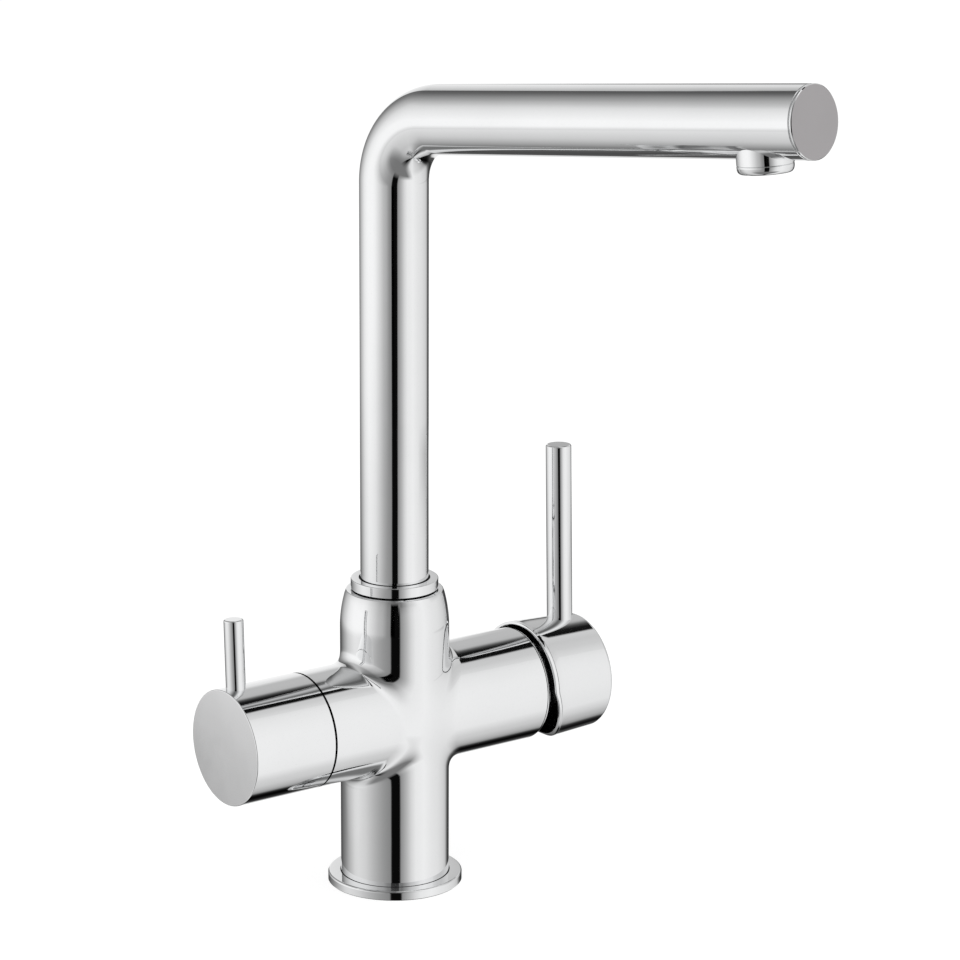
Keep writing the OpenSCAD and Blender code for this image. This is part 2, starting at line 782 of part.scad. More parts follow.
// Hollow knob with a splined hub, and a rib that carries the lever's thread
module filter_knob() {
    color("silver")
        on_filter()
            difference() {
                union() {
                    difference() {
                        tipped_rod(knob_start, knob_reach, barrel_r, knob_edge);
                        rod_z(knob_start - overrun, knob_floor, knob_bore_r);
                    }
                    rod_z(spline_x - seat, knob_floor + seat, knob_hub_r);
                    filter_lever_frame()
                        rod_z(knob_hub_r / 2, knob_bore_r + seat, filter_lever_r + knob_wall);
                }
                translate([0, 0, spline_x - overrun])
                    linear_extrude(height = spline_l + 2 * overrun)
                        polygon(spline_points(spline_r, 2 * seat));
                filter_lever_frame() {
                    rod_z(filter_lever_seat, barrel_r + overrun, filter_lever_r + seat);
                    rod_z(knob_hub_r, filter_lever_seat + seat, filter_tail_r + seat);
                }
                knob_screw_frame()
                    rod_z(spline_r - spline_depth, barrel_r + overrun, knob_screw_r + seat);
            }
}
// Frames of the lever and the screw: Z points outwards from the barrel's axis
module filter_lever_frame() {
    translate([0, 0, filter_lever_x])
        rotate([0, 0, filter_lever_lean])
            rotate([0, 90, 0])
                children();
}
module knob_screw_frame() {
    translate([0, 0, knob_screw_x])
        rotate([0, 0, filter_lever_lean + 180])
            rotate([0, 90, 0])
                children();
}
module filter_lever() {
    color("silver")
        on_filter()
            filter_lever_frame() {
                tipped_rod(filter_lever_seat + seat, filter_lever_reach,
                           filter_lever_r, filter_lever_bevel);
                rod_z(knob_hub_r + seat, filter_lever_seat + 2 * seat, filter_tail_r);
            }
}
// Socket headed grub screw: Z is its axis, pointing to the socket
module grub_screw(r, l) {
    difference() {
        cylinder(h = l, r = r);
        translate([0, 0, l / 2])
            cylinder(h = l, r = r * hex_socket_share, $fn = 6);
    }
}
module filter_knob_screw() {
    color("dimgray")
        on_filter()
            knob_screw_frame()
                translate([0, 0, spindle_r + seat])
                    grub_screw(knob_screw_r, knob_screw_l);
}

// Three ports through a round plate: two inlets below the axis and one outlet above
module mixer_ports(x0, x1, r) {
    for (place = port_places)
        on_barrel()
            translate([place.x, place.y, 0])
                rod_z(x0, x1, r);
}
module mixer_cartridge_housing() {
    color("dimgray")
        difference() {
            union() {
                rod_x(housing_x, nut_x - seat, cartridge_r);
                rod_x(housing_x, housing_end, housing_neck_r);
            }
            rod_x(fixed_mixer_x - seat, moving_mixer_top + slider_clear, cartridge_bore_r);
            rod_x(fixed_mixer_x, housing_end + overrun, turret_bore_r);
            mixer_ports(housing_x - overrun, fixed_mixer_x + overrun, port_r);
        }
}
module mixer_fixed_disc() {
    color("white")
        difference() {
            rod_x(fixed_mixer_x, fixed_mixer_x + fixed_mixer_t, cartridge_bore_r - seat);
            mixer_ports(fixed_mixer_x - overrun, fixed_mixer_x + fixed_mixer_t + overrun, port_r);
        }
}
module mixer_base_seals() {
    color("red")
        for (place = port_places)
            on_barrel()
                translate([place.x, place.y, 0])
                    ring_z(chamber_floor + seat, housing_x - seat,
                           passage_r + 2 * seal_r, passage_r + seal_r);
}
module mixer_ring_nut() {
    slots = 4;
    color("goldenrod")
        difference() {
            ring_x(nut_x, dome_foot_x - seat, nut_thread_r - seat, housing_neck_r + 4 * running);
            for (turn = [0 : slots - 1])
                on_barrel()
                    rotate([0, 0, 360 * turn / slots])
                        translate([housing_neck_r + cartridge_wall, -cartridge_wall,
                                   dome_foot_x - cartridge_wall])
                            cube([cartridge_wall, 2 * cartridge_wall, 2 * cartridge_wall]);
        }
}
// Round cover over the cartridge, centred on the lever's pivot so that the cup clears it
module mixer_dome() {
    foot = dome_foot_x - pivot_x;
    start = asin(foot / dome_r);
    end = acos(dome_mouth_r / dome_r);
    steps = 3 * round_steps;
    color("black")
        on_barrel()
            translate([0, 0, pivot_x])
                rotate_extrude()
                    polygon(concat(
                        [for (i = [0 : steps])
                            let (a = start + (end - start) * i / steps)
                            [dome_r * cos(a), dome_r * sin(a)]],
                        [for (i = [steps : -1 : 0])
                            let (a = start + (end - start) * i / steps)
                            [(dome_r - dome_t) * cos(a), (dome_r - dome_t) * sin(a)]]));
}
// Turret that turns in the housing with the lever and carries the pivot pin
module mixer_turret() {
    color("whitesmoke")
        difference() {
            rod_x(turret_x, turret_top, turret_r);
            on_barrel()
                translate([-stem_slot_h / 2, -stem_slot_w / 2, turret_x - overrun])
                    cube([stem_slot_h, stem_slot_w, turret_top - turret_x + 2 * overrun]);
            pivot_pin_shape(pin_l, pivot_pin_d / 2 + seat);
        }
}
module pivot_pin_shape(l, r) {
    translate([pivot_x, l / 2, barrel_h])
        rotate([90, 0, 0])
            cylinder(h = l, r = r);
}
module mixer_pivot_pin() {
    color("gray")
        pivot_pin_shape(pin_l - 2 * seat, pivot_pin_d / 2);
}
// Upper disc, slid over the fixed disc by the stem's ball in its pocket
module mixer_moving_disc() {
    color("ivory")
        difference() {
            union() {
                rod_x(moving_mixer_x, moving_mixer_top, moving_mixer_r);
                rod_x(moving_mixer_x, moving_mixer_top + pocket_l, pocket_r + pocket_wall);
            }
            rod_x(moving_mixer_top, moving_mixer_top + pocket_l + overrun, pocket_r);
            translate([0, 0, port_pcd_r / 2])
                rod_x(moving_mixer_x - overrun, moving_mixer_x + moving_mixer_t / 2, port_r);
        }
}
// Square stem on its knuckle, with the ball that drives the upper disc
module mixer_stem() {
    color("gray")
        difference() {
            union() {
                pivot_pin_shape(2 * stem_knuckle_r, stem_knuckle_r);
                rod_x(ball_x, pivot_x, stem_neck_r);
                translate([ball_x, 0, barrel_h])
                    sphere(r = ball_r);
                translate([pivot_x, -stem_side / 2, barrel_h - stem_side / 2])
                    cube([stem_end - pivot_x, stem_side, stem_side]);
            }
            pivot_pin_shape(2 * stem_knuckle_r + overrun, pivot_pin_d / 2 + running);
        }
}

// Frames on the cup: Z points outwards from the barrel's axis
module mixer_lever_frame() {
    translate([mixer_lever_x, 0, barrel_h])
        rotate([-mixer_lever_lean, 0, 0])
            children();
}
module grub_frame() {
    translate([grub_x, 0, barrel_h])
        rotate([180, 0, 0])
            children();
}
// Side outline of the relief that lets the cup's lower rim swing over the barrel
function relief_edge() =
    [for (i = [0 : relief_steps])
        let (k = i / relief_steps)
        [rim_x + relief_depth * (slant_share * k + (1 - slant_share) * pow(k, relief_power)),
         relief_start - (relief_start + cup_rim_r) * k]];
module rim_relief() {
    translate([0, barrel_r + cup_rim_r, barrel_h])
        rotate([90, 0, 0])
            linear_extrude(height = 2 * (barrel_r + cup_rim_r))
                polygon(concat([[rim_x - overrun, relief_start]], relief_edge(),
                               [[rim_x + relief_depth, -cup_rim_r - overrun],
                                [rim_x - overrun, -cup_rim_r - overrun]]));
}
module mixer_handle() {
    color("silver")
        difference() {
            union() {
                difference() {
                    on_barrel()
                        rotate_extrude()
                            polygon(concat([[0, rim_x], [cup_rim_r, rim_x]],
                                           rounded_tip(cup_end_r, cup_reach, cup_round),
                                           [[0, cup_reach]]));
                    on_barrel()
                        rotate_extrude()
                            polygon([[0, rim_x - overrun], [cup_rim_r - cup_wall, rim_x - overrun],
                                     [cup_end_r - cup_wall, cup_floor], [0, cup_floor]]);
                }
                rod_x(hub_x, cup_floor + seat, hub_r);
                intersection() {
                    mixer_lever_frame()
                        rod_z(lever_pad_foot, cup_rim_r, lever_pad_r);
                    rod_x(rim_x, cup_reach - cup_round, cup_end_r - seat);
                }
            }
            translate([hub_x - overrun, -stem_side / 2 - seat, barrel_h - stem_side / 2 - seat])
                cube([stem_end - hub_x + overrun + seat, stem_side + 2 * seat, stem_side + 2 * seat]);
            mixer_lever_frame() {
                rod_z(lever_seat, cup_rim_r + overrun, mixer_lever_r + seat);
                rod_z(lever_pad_foot - overrun, lever_seat + seat, lever_tail_r + seat);
            }
            grub_frame()
                rod_z(stem_side / 2, cup_rim_r + overrun, grub_r + seat);
            rim_relief();
        }
}
module mixer_lever() {
    color("silver")
        mixer_lever_frame() {
            tipped_rod(lever_seat + seat, mixer_lever_reach, mixer_lever_r, lever_bevel);
            rod_z(lever_pad_foot, lever_seat + 2 * seat, lever_tail_r);
        }
}
module mixer_grub_screw() {
    color("dimgray")
        grub_frame()
            translate([0, 0, stem_side / 2 + seat])
                grub_screw(grub_r, grub_l);
}

tap_body();
base_flange();
base_gasket();
spout_collar();
filtered_water_nipple();
spout_tube();
spout_end_cap();
outlet_boss();
aerator_housing();
aerator_insert();
aerator_washer();
filtered_water_hose();
spout_bush();
spout_o_rings();
spout_glide_rings();
filter_headwork();
filter_fixed_disc();
filter_valve_seal();
filter_spindle();
filter_moving_disc();
filter_knob();
filter_lever();
filter_knob_screw();
mixer_cartridge_housing();
mixer_fixed_disc();
mixer_base_seals();
mixer_ring_nut();
mixer_dome();
mixer_turret();
mixer_pivot_pin();
mixer_moving_disc();
mixer_stem();
mixer_handle();
mixer_lever();
mixer_grub_screw();
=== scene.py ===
import bmesh
import bpy
import json
from math import acos, asin, atan2, cos, degrees, pi, radians, sin, sqrt
from mathutils import Matrix, Vector


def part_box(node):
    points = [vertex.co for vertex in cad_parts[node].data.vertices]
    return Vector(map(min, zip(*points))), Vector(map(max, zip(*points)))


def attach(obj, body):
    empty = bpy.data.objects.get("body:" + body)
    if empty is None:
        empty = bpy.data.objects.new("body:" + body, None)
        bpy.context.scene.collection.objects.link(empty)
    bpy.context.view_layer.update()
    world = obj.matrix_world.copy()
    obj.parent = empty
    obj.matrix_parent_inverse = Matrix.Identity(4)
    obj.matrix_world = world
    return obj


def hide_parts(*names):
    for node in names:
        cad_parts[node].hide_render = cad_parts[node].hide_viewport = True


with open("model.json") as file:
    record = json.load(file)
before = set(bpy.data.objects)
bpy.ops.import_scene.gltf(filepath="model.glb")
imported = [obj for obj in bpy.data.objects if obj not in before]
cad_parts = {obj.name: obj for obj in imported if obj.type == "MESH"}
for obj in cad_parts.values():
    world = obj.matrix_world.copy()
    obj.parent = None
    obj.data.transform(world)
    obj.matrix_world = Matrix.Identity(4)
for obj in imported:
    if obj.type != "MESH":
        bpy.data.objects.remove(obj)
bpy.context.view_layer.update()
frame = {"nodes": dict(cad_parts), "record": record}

# The camera
# It stands in front of the filter side and well above the spout, far enough away for a
# long lens, and looks down at the tap.
camera_reach = 1.5476
camera_height = 0.582157
camera_bearing = radians(-35.451)
heading = radians(-36.742)
pitch = radians(-14.849)
roll = radians(0.238)
lens_mm = 147.455
sensor_mm = 36
camera_data = bpy.data.cameras.new("camera")
camera_data.lens = lens_mm
camera_data.sensor_width = sensor_mm
camera = bpy.data.objects.new("camera", camera_data)
bpy.context.scene.collection.objects.link(camera)
camera_place = Vector((sin(camera_bearing) * camera_reach, -cos(camera_bearing) * camera_reach,
                       camera_height))
camera.matrix_world = (
    Matrix.Translation(camera_place) @ Matrix.Rotation(heading, 4, "Z")
    @ Matrix.Rotation(pi / 2 + pitch, 4, "X") @ Matrix.Rotation(roll, 4, "Z"))
bpy.context.scene.camera = camera
bpy.context.scene.view_settings.view_transform = "Standard"

# The studio
# A white floor in a white tent that lights it evenly, with one soft lamp above. Polished
# metal sees the tent's parts: it dims towards the camera, where a narrow slit is left
# open, and its bright back wall ends in dark corners.


class Value:
    """A value in a node tree, so that shader maths can be written as expressions."""

    def __init__(self, tree, socket=None):
        self.tree = tree
        self.socket = socket

    def node(self, kind, settings, inputs, output=0):
        """Adds a node: its settings are set first, then its sockets get values or links."""
        node = self.tree.nodes.new(kind)
        for name, setting in settings.items():
            if name == "stops":
                stops = node.color_ramp.elements
                while len(stops) < len(setting):
                    stops.new(0.5)
                for stop, (place, tone) in zip(stops, setting):
                    stop.position = place
                    stop.color = (*tone, 1) if isinstance(tone, tuple) else (tone, tone, tone, 1)
            else:
                setattr(node, name, setting)
        for name, given in inputs.items():
            if isinstance(given, Value):
                self.tree.links.new(given.socket, node.inputs[name])
            else:
                node.inputs[name].default_value = given
        return Value(self.tree, node.outputs[output] if node.outputs else None)

    def maths(self, operation, *others):
        inputs = dict(enumerate((self, *others)))
        return self.node("ShaderNodeMath", {"operation": operation}, inputs)

    def at_least(self, other):
        return self.maths("MAXIMUM", other)

    def at_most(self, other):
        return self.maths("MINIMUM", other)

    def clamped(self):
        return self.at_least(0).at_most(1)

    def soft_step(self, width):
        """0 well below zero and 1 well above it, over a soft edge of the given width."""
        return (self / width + 0.5).clamped()

    def along(self, direction):
        """How far this way points along the given direction."""
        settings, inputs = {"operation": "DOT_PRODUCT"}, {0: self, 1: direction}
        return self.node("ShaderNodeVectorMath", settings, inputs, "Value")

    def ramp(self, stops):
        return self.node("ShaderNodeValToRGB", {"stops": stops}, {"Fac": self})

    def mix(self, low, high):
        """Mixes two colours by this value, through the Mix node's colour sockets."""
        inputs = {0: self, 6: low, 7: high}
        return self.node("ShaderNodeMix", {"data_type": "RGBA"}, inputs, 2)

    def __add__(self, other):
        return self.maths("ADD", other)

    def __sub__(self, other):
        return self.maths("SUBTRACT", other)

    def __rsub__(self, other):
        return self.node("ShaderNodeMath", {"operation": "SUBTRACT"}, {0: other, 1: self})

    def __mul__(self, other):
        return self.maths("MULTIPLY", other)

    def __truediv__(self, other):
        return self.maths("DIVIDE", other)

    __radd__ = __add__
    __rmul__ = __mul__


floor_half = 3
floor_tone = 0.25
floor_glow = 0.82
bpy.ops.object.select_all(action="DESELECT")
bpy.ops.mesh.primitive_plane_add(size=2 * floor_half)
floor = bpy.context.object
floor.name = "floor"
floor.visible_glossy = False
floor_finish = bpy.data.materials.new("floor_finish")
floor_finish.use_nodes = True
floor.data.materials.append(floor_finish)
tree = floor_finish.node_tree
tree.nodes.clear()
seen = Value(tree).node("ShaderNodeLightPath", {}, {}, "Is Camera Ray")
plain = seen.node("ShaderNodeBsdfDiffuse", {}, {"Color": (floor_tone, floor_tone, floor_tone, 1)})
glow = seen.node("ShaderNodeEmission", {}, {"Color": (1, 1, 1, 1), "Strength": seen * floor_glow})
both = seen.node("ShaderNodeAddShader", {}, {0: plain, 1: glow})
seen.node("ShaderNodeOutputMaterial", {}, {"Surface": both})

world = bpy.data.worlds.new("tent")
bpy.context.scene.world = world
world.use_nodes = True
tree = world.node_tree
tree.nodes.clear()
# A way out of the tap has its turn, 0 towards the camera and growing to the right, and its
# rise above the horizon, both in degrees
way = Value(tree).node("ShaderNodeTexCoord", {}, {}, "Generated")
to_camera = Vector((camera_place.x, camera_place.y, 0)).normalized()
side_soft = 0.05
ahead = way.along(to_camera)
aside = way.along(Vector((0, 0, 1)).cross(to_camera))
above = way.along((0, 0, 1))
turn = aside.maths("ARCTAN2", ahead) * degrees(1)
turned_away = turn.maths("ABSOLUTE")
quarter = turned_away / 90
height = above.maths("ARCSINE") / pi + 0.5
rise = (height - 0.5) * 180
on_right = aside.soft_step(side_soft)
on_left = (0 - aside).at_least(0).maths("POWER", 2)

# The front, from the camera's side to a quarter turn away, with the slit in its middle. A
# ramp's stops are (place, brightness), and those of height run from straight down to
# straight up
front_left = ((0.0, 0.2), (0.17, 0.28), (0.28, 0.45), (0.39, 0.54), (0.5, 0.69), (0.61, 0.82),
              (0.72, 0.945), (0.83, 1.0), (1.0, 1.0))
front_right = ((0.0, 0.15), (0.12, 0.19), (0.17, 0.18), (0.21, 0.26), (0.28, 0.37),
               (0.345, 0.52), (0.39, 0.6), (0.5, 0.74), (0.61, 0.89), (0.72, 0.93),
               (0.83, 0.885), (0.94, 0.84), (1.0, 0.79))
height_left = ((0.0, 0.2), (0.183, 0.2), (0.211, 0.45), (0.239, 0.58), (0.278, 0.68),
               (0.328, 0.79), (0.389, 0.92), (0.444, 1.0), (0.5, 1.0), (0.611, 0.85),
               (0.656, 0.76), (0.694, 0.6), (0.722, 0.52), (1.0, 0.5))
slit_half = 8.5
slit_soft = 2
slit_top = 18
slit_fade = 12
left_height = height.ramp(height_left)
past_slit = (turned_away - slit_half).soft_step(slit_soft)
past_slit = past_slit.at_least(((rise - slit_top) / slit_fade).clamped())
front = on_right.mix(quarter.ramp(front_left) * left_height, quarter.ramp(front_right)) * past_slit

# The back wall, whose sides lean, with ramps from its middle outwards. Its half widths and
# heights are for a wall at a distance of 1
lean_left, lean_right = 0.2, 0.1
back_left, back_right = 0.28, 0.33
back_over, back_under = 0.9, 0.7
behind_left = ((0.0, 0.98), (0.49, 0.93), (0.505, 0.62), (0.515, 0.17), (0.58, 0.2),
               (0.648, 0.25), (0.728, 0.4), (0.789, 0.57), (0.841, 0.71), (0.886, 0.868),
               (0.931, 0.95), (0.976, 1.0), (1.0, 1.0))
behind_right = ((0.0, 0.98), (0.36, 0.95), (0.4, 0.87), (0.45, 0.75), (0.5, 0.43),
                (0.555, 0.15), (0.62, 0.11), (0.663, 0.12), (0.744, 0.24), (0.808, 0.33),
                (0.863, 0.42), (0.918, 0.54), (0.971, 0.68), (1.0, 0.76))
right_dim = 0.93
behind = (0 - ahead).at_least(0.0001)
out_up = above / behind
out_wide = aside / behind
wall_left = (out_wide + out_up * lean_left) / -back_left
wall_wide = ((out_wide + out_up * lean_right) / back_right).at_least(wall_left)
wall_high = (out_up / back_over).at_least(out_up / -back_under)
outside = wall_wide.at_least(wall_high)
outside = outside / (outside + 1)

# High on the right the back wall ends in a dark joint along a slanting edge, with a bright
# screen beyond it
joint_slope = 1.65
joint_soft = 0.1
joint_start = 1
joint_span = 5
joint_level = 43
joint_lean = 0.1
joint_tones = ((0.0, 0.005), (0.16, 0.01), (0.26, 0.06), (0.35, 0.17), (0.46, 0.4),
               (0.56, 0.5), (1.0, 0.52))
screen_turns = ((0.0, 0.74), (0.13, 0.64), (0.3, 0.6), (0.55, 0.67), (1.0, 0.67))
high_line = 11
high_soft = 12
joint = out_up / out_wide.at_least(0.01)
joint_place = (joint - (rise - joint_level) * joint_lean - joint_start) / joint_span
beyond_joint = (joint_slope - joint).soft_step(joint_soft)
screen = beyond_joint.mix(joint_place.ramp(joint_tones), (quarter - 1).ramp(screen_turns))
right_wall = outside.ramp(behind_right) * right_dim
right_back = (rise - high_line).soft_step(high_soft).mix(right_wall, screen)
back = on_right.mix(outside.ramp(behind_left) * left_height, right_back)
upper = ahead.maths("GREATER_THAN", 0).mix(back, front)

# Below the low line, and on the right from there up to the high line, polished metal sees
# the tent's foot instead. Straight behind, the back wall hides it. Its stops run all the
# way round: from behind over the left side, the camera and the right side.
foot_turns = ((0.0, 0.1), (0.04, 0.07), (0.07, 0.085), (0.097, 0.14), (0.125, 0.18),
              (0.153, 0.25), (0.18, 0.36), (0.208, 0.47), (0.236, 0.62), (0.264, 0.69),
              (0.32, 0.62), (0.375, 0.465), (0.43, 0.33), (0.475, 0.25), (0.481, 0.003),
              (0.53, 0.003), (0.534, 0.27), (0.57, 0.5), (0.597, 0.72), (0.625, 0.87),
              (0.68, 0.92), (0.736, 0.84), (0.79, 0.79), (0.847, 0.68), (0.875, 0.56),
              (0.903, 0.14), (0.93, 0.03), (0.958, 0.07), (1.0, 0.1))
low_line, low_line_left, low_line_front = -14.5, -19, 1.2
low_soft, low_soft_left = 2.5, 11
front_gain = 4
lift_line, lift_soft, left_lift = -18, 5, 0.6
band_foot = -14.5
back_foot = -36
back_foot_half = 8
steep_ahead = 0.3
steep_line, steep_soft, steep_tone = -28, 10, 0.19
deep_line, deep_soft = -38, 12
low_here = (on_left * (low_line_left - low_line) + (ahead * front_gain).clamped() * low_line_front
            + low_line - rise)
low_share = low_here.soft_step(on_left * (low_soft_left - low_soft) + low_soft)
lift = on_left * ((lift_line - rise) / lift_soft).clamped() * left_lift
low_share = low_share.at_most(1 - lift)
right_band = (rise - band_foot).soft_step(1) * (high_line - rise).soft_step(high_soft) * on_right
off_wall = (180 - turned_away - back_foot_half).at_least(back_foot - rise).at_least(rise)
low_share = low_share.at_least(right_band) * off_wall.soft_step(low_soft)
steep = ((ahead - steep_ahead) * front_gain).clamped()
steep = steep * ((steep_line - rise) / steep_soft).clamped()
deep = ((deep_line - rise) / deep_soft).clamped() * on_right
foot = (turn / 360 + 0.5).ramp(foot_turns).maths("POWER", deep + 1)
foot = foot * (1 - steep) + steep * steep_tone
tent = low_share.mix(upper, foot)

# Polish sees the tent, everything else an even light, and the camera plain white
fill_light = 0.92
polished = way.node("ShaderNodeLightPath", {}, {}, "Is Glossy Ray")
direct = way.node("ShaderNodeLightPath", {}, {}, "Is Camera Ray")
plain_light = direct.mix((fill_light, fill_light, fill_light, 1), (1, 1, 1, 1))
room = polished.mix(plain_light, tent)
sky = way.node("ShaderNodeBackground", {}, {"Color": room, "Strength": 1})
way.node("ShaderNodeOutputWorld", {}, {"Surface": sky})

key_watts = 6
key_side = 1.2
key_place = Vector((-0.7, -0.5, 1.5))
key_data = bpy.data.lights.new("key", "AREA")
key_data.size = key_side
key_data.energy = key_watts
key = bpy.data.objects.new("key", key_data)
bpy.context.scene.collection.objects.link(key)
key_turn = key_place.to_track_quat("Z", "Y").to_matrix().to_4x4()
key.matrix_world = Matrix.Translation(key_place) @ key_turn
key.visible_glossy = False

# The body casting
# One brass casting, polished and chrome plated: an upright column and a cross barrel
# of nearly the same width, run into each other with a cast fillet.

# Most of a noise lies between these two values
cloud_low, cloud_high = 0.3, 0.7


def chrome(name, tone, haze, ripple):
    """Bright plating: a mirror that faint wipe marks and ripples soften here and there."""
    finish = bpy.data.materials.new(name)
    finish.use_nodes = True
    tree = finish.node_tree
    surface = tree.nodes["Principled BSDF"]
    surface.inputs["Metallic"].default_value = 1
    place = Value(tree).node("ShaderNodeTexCoord", {}, {}, "Object")
    wipe_marks = place.node("ShaderNodeTexNoise", {}, {"Vector": place, "Scale": 40, "Detail": 3})
    fine_grain = place.node("ShaderNodeTexNoise", {}, {"Vector": place, "Scale": 900, "Detail": 2})
    waves = place.node("ShaderNodeTexNoise", {}, {"Vector": place, "Scale": 55, "Detail": 1})
    worn = wipe_marks * 0.7 + fine_grain * 0.3
    dim_tone = tuple(0.97 * t for t in tone)
    colour = worn.ramp(((cloud_low, dim_tone), (cloud_high, tone)))
    tree.links.new(colour.socket, surface.inputs["Base Color"])
    roughness = worn * haze * 0.8 + haze * 0.6
    tree.links.new(roughness.socket, surface.inputs["Roughness"])
    bump = waves.node("ShaderNodeBump", {}, {"Height": waves, "Strength": 1, "Distance": ripple})
    tree.links.new(bump.socket, surface.inputs["Normal"])
    return finish


def satin(name, tone, matt, streak):
    """Matt plating: very fine scratches and a faint cloudiness that break up its mirror."""
    finish = bpy.data.materials.new(name)
    finish.use_nodes = True
    tree = finish.node_tree
    surface = tree.nodes["Principled BSDF"]
    surface.inputs["Metallic"].default_value = 1
    place = Value(tree).node("ShaderNodeTexCoord", {}, {}, "Object")
    cloud = place.node("ShaderNodeTexNoise", {}, {"Vector": place, "Scale": 90, "Detail": 4})
    grit = place.node("ShaderNodeTexNoise", {}, {"Vector": place, "Scale": 2600, "Detail": 2})
    dim_tone = tuple(0.96 * t for t in tone)
    colour = cloud.ramp(((cloud_low, dim_tone), (cloud_high, tone)))
    tree.links.new(colour.socket, surface.inputs["Base Color"])
    roughness = cloud * 0.08 + matt
    tree.links.new(roughness.socket, surface.inputs["Roughness"])
    bump = grit.node("ShaderNodeBump", {}, {"Height": grit, "Strength": 1, "Distance": streak})
    tree.links.new(bump.socket, surface.inputs["Normal"])
    return finish


def start(add, **sizes):
    """Adds a primitive with nothing else selected and opens it for editing."""
    if bpy.context.object and bpy.context.object.mode == "EDIT":
        bpy.ops.object.mode_set(mode="OBJECT")
    bpy.ops.object.select_all(action="DESELECT")
    add(**sizes)
    bpy.ops.object.mode_set(mode="EDIT")
    return bpy.context.object


def pick(piece, wanted):
    """Selects the vertices whose place is wanted."""
    mesh = bmesh.from_edit_mesh(piece.data)
    for vertex in mesh.verts:
        vertex.select = wanted(vertex.co)
    mesh.select_flush_mode()
    bmesh.update_edit_mesh(piece.data)


def draw_ring(centre, step, widen, squeeze):
    """Extrudes the picked ring by the step and widens it about its new centre, on the axes
    that squeeze marks with 1."""
    bpy.ops.mesh.extrude_region_move(TRANSFORM_OT_translate={"value": step})
    grow = tuple(1 + (widen - 1) * s for s in squeeze)
    bpy.ops.transform.resize(value=grow, center_override=centre)


def close_up():
    """Merges the edited piece's seams and turns every face outwards."""
    bpy.ops.mesh.select_all(action="SELECT")
    bpy.ops.mesh.remove_doubles(threshold=weld)
    bpy.ops.mesh.normals_make_consistent(inside=False)
    bpy.ops.object.mode_set(mode="OBJECT")


def apply(piece, kind, **settings):
    """Adds a modifier to the piece and applies it."""
    bpy.context.view_layer.objects.active = piece
    modifier = piece.modifiers.new(kind.lower(), kind)
    for name, setting in settings.items():
        setattr(modifier, name, setting)
    bpy.ops.object.modifier_apply(modifier=modifier.name)


def polish(piece, name, finish, edge=0.0):
    """Rounds the sharp edges a little, shades the piece smooth and gives it its finish."""
    piece.name = name
    bpy.ops.object.select_all(action="DESELECT")
    piece.select_set(True)
    bpy.context.view_layer.objects.active = piece
    if edge:
        apply(piece, "BEVEL", width=edge, segments=edge_steps, limit_method="ANGLE",
              angle_limit=sharp_angle)
    bpy.ops.object.shade_smooth_by_angle(angle=sharp_angle)
    apply(piece, "WEIGHTED_NORMAL", keep_sharp=True, weight=50)
    piece.data.materials.append(finish)
    return piece


def face_finish(piece, finish, wanted):
    """Gives the faces that are wanted, by their centre and normal, a finish of their own."""
    piece.data.materials.append(finish)
    for face in piece.data.polygons:
        if wanted(face.center, face.normal):
            face.material_index = len(piece.data.materials) - 1


# Closer than near two places count as one in a test, and points closer than weld are merged
near = 0.00001
weld = 0.000001
edge_steps = 3
sharp_angle = radians(35)
body_low, body_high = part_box("tap_body")
barrel_r = body_high.y
barrel_z = 0.0735
column_r = 0.0225
cast_blend = 0.005
crossing_up = 0.035
crossing_out = 0.037
column_rows, blend_rows, barrel_rows = 6, 16, 6
quarter_steps = 60
mirror_finish = chrome("bright_chrome", (0.93, 0.935, 0.94), 0.04, 0.00004)
# Painted shade: a near-black satin finish for faces in grooves, gaps and hollows, where shade
# falls
painted_shade = satin("painted_shade", (0.012, 0.012, 0.013), 0.5, 0.00001)

# One eighth of the crossing is a grid laid along the blend, and it is mirrored three
# times. Where the two rounds are less than the blend's width apart, the surface stands out
# from both. The lead is how much further it is from the column's round than the barrel's.
all_rows = column_rows + 2 * blend_rows + barrel_rows
crossing = start(bpy.ops.mesh.primitive_grid_add, size=1, x_subdivisions=quarter_steps,
                 y_subdivisions=all_rows)


def blend_point(turn, lead):
    """A point of the blend, by its turn from +X to -Y round the nearer axis and its lead."""
    rise = max(cast_blend - abs(lead), 0) ** 2 / (4 * cast_blend)
    column_now = column_r + rise + max(lead, 0)
    barrel_now = barrel_r + rise + max(-lead, 0)
    out = min(column_now, barrel_now) * sin(turn)
    return Vector((sqrt(max(column_now ** 2 - out ** 2, 0)), -out,
                   sqrt(max(barrel_now ** 2 - out ** 2, 0))))


def crossing_point(turn, row):
    """A point of the crossing's eighth, by its turn and its row from column to barrel."""
    saddle = barrel_r - column_r
    from_saddle = min(max((row - column_rows) / blend_rows - 1, -1), 1)
    reach = cast_blend + saddle if from_saddle < 0 else cast_blend - saddle
    point = blend_point(turn, saddle + reach * from_saddle * abs(from_saddle))
    if row < column_rows:
        point.z += (crossing_up - point.z) * (1 - row / column_rows)
    barrel_row = row - column_rows - 2 * blend_rows
    if barrel_row > 0:
        point.x += (crossing_out - point.x) * barrel_row / barrel_rows
    return point


bpy.ops.object.mode_set(mode="OBJECT")
for vertex in crossing.data.vertices:
    turn_share, row_share = vertex.co.x + 0.5, vertex.co.y + 0.5
    vertex.co = crossing_point(turn_share * pi / 2, round(row_share * all_rows))
apply(crossing, "MIRROR", use_axis=(True, True, True), merge_threshold=weld)
for vertex in crossing.data.vertices:
    vertex.co.z += barrel_z
bpy.ops.object.mode_set(mode="EDIT")

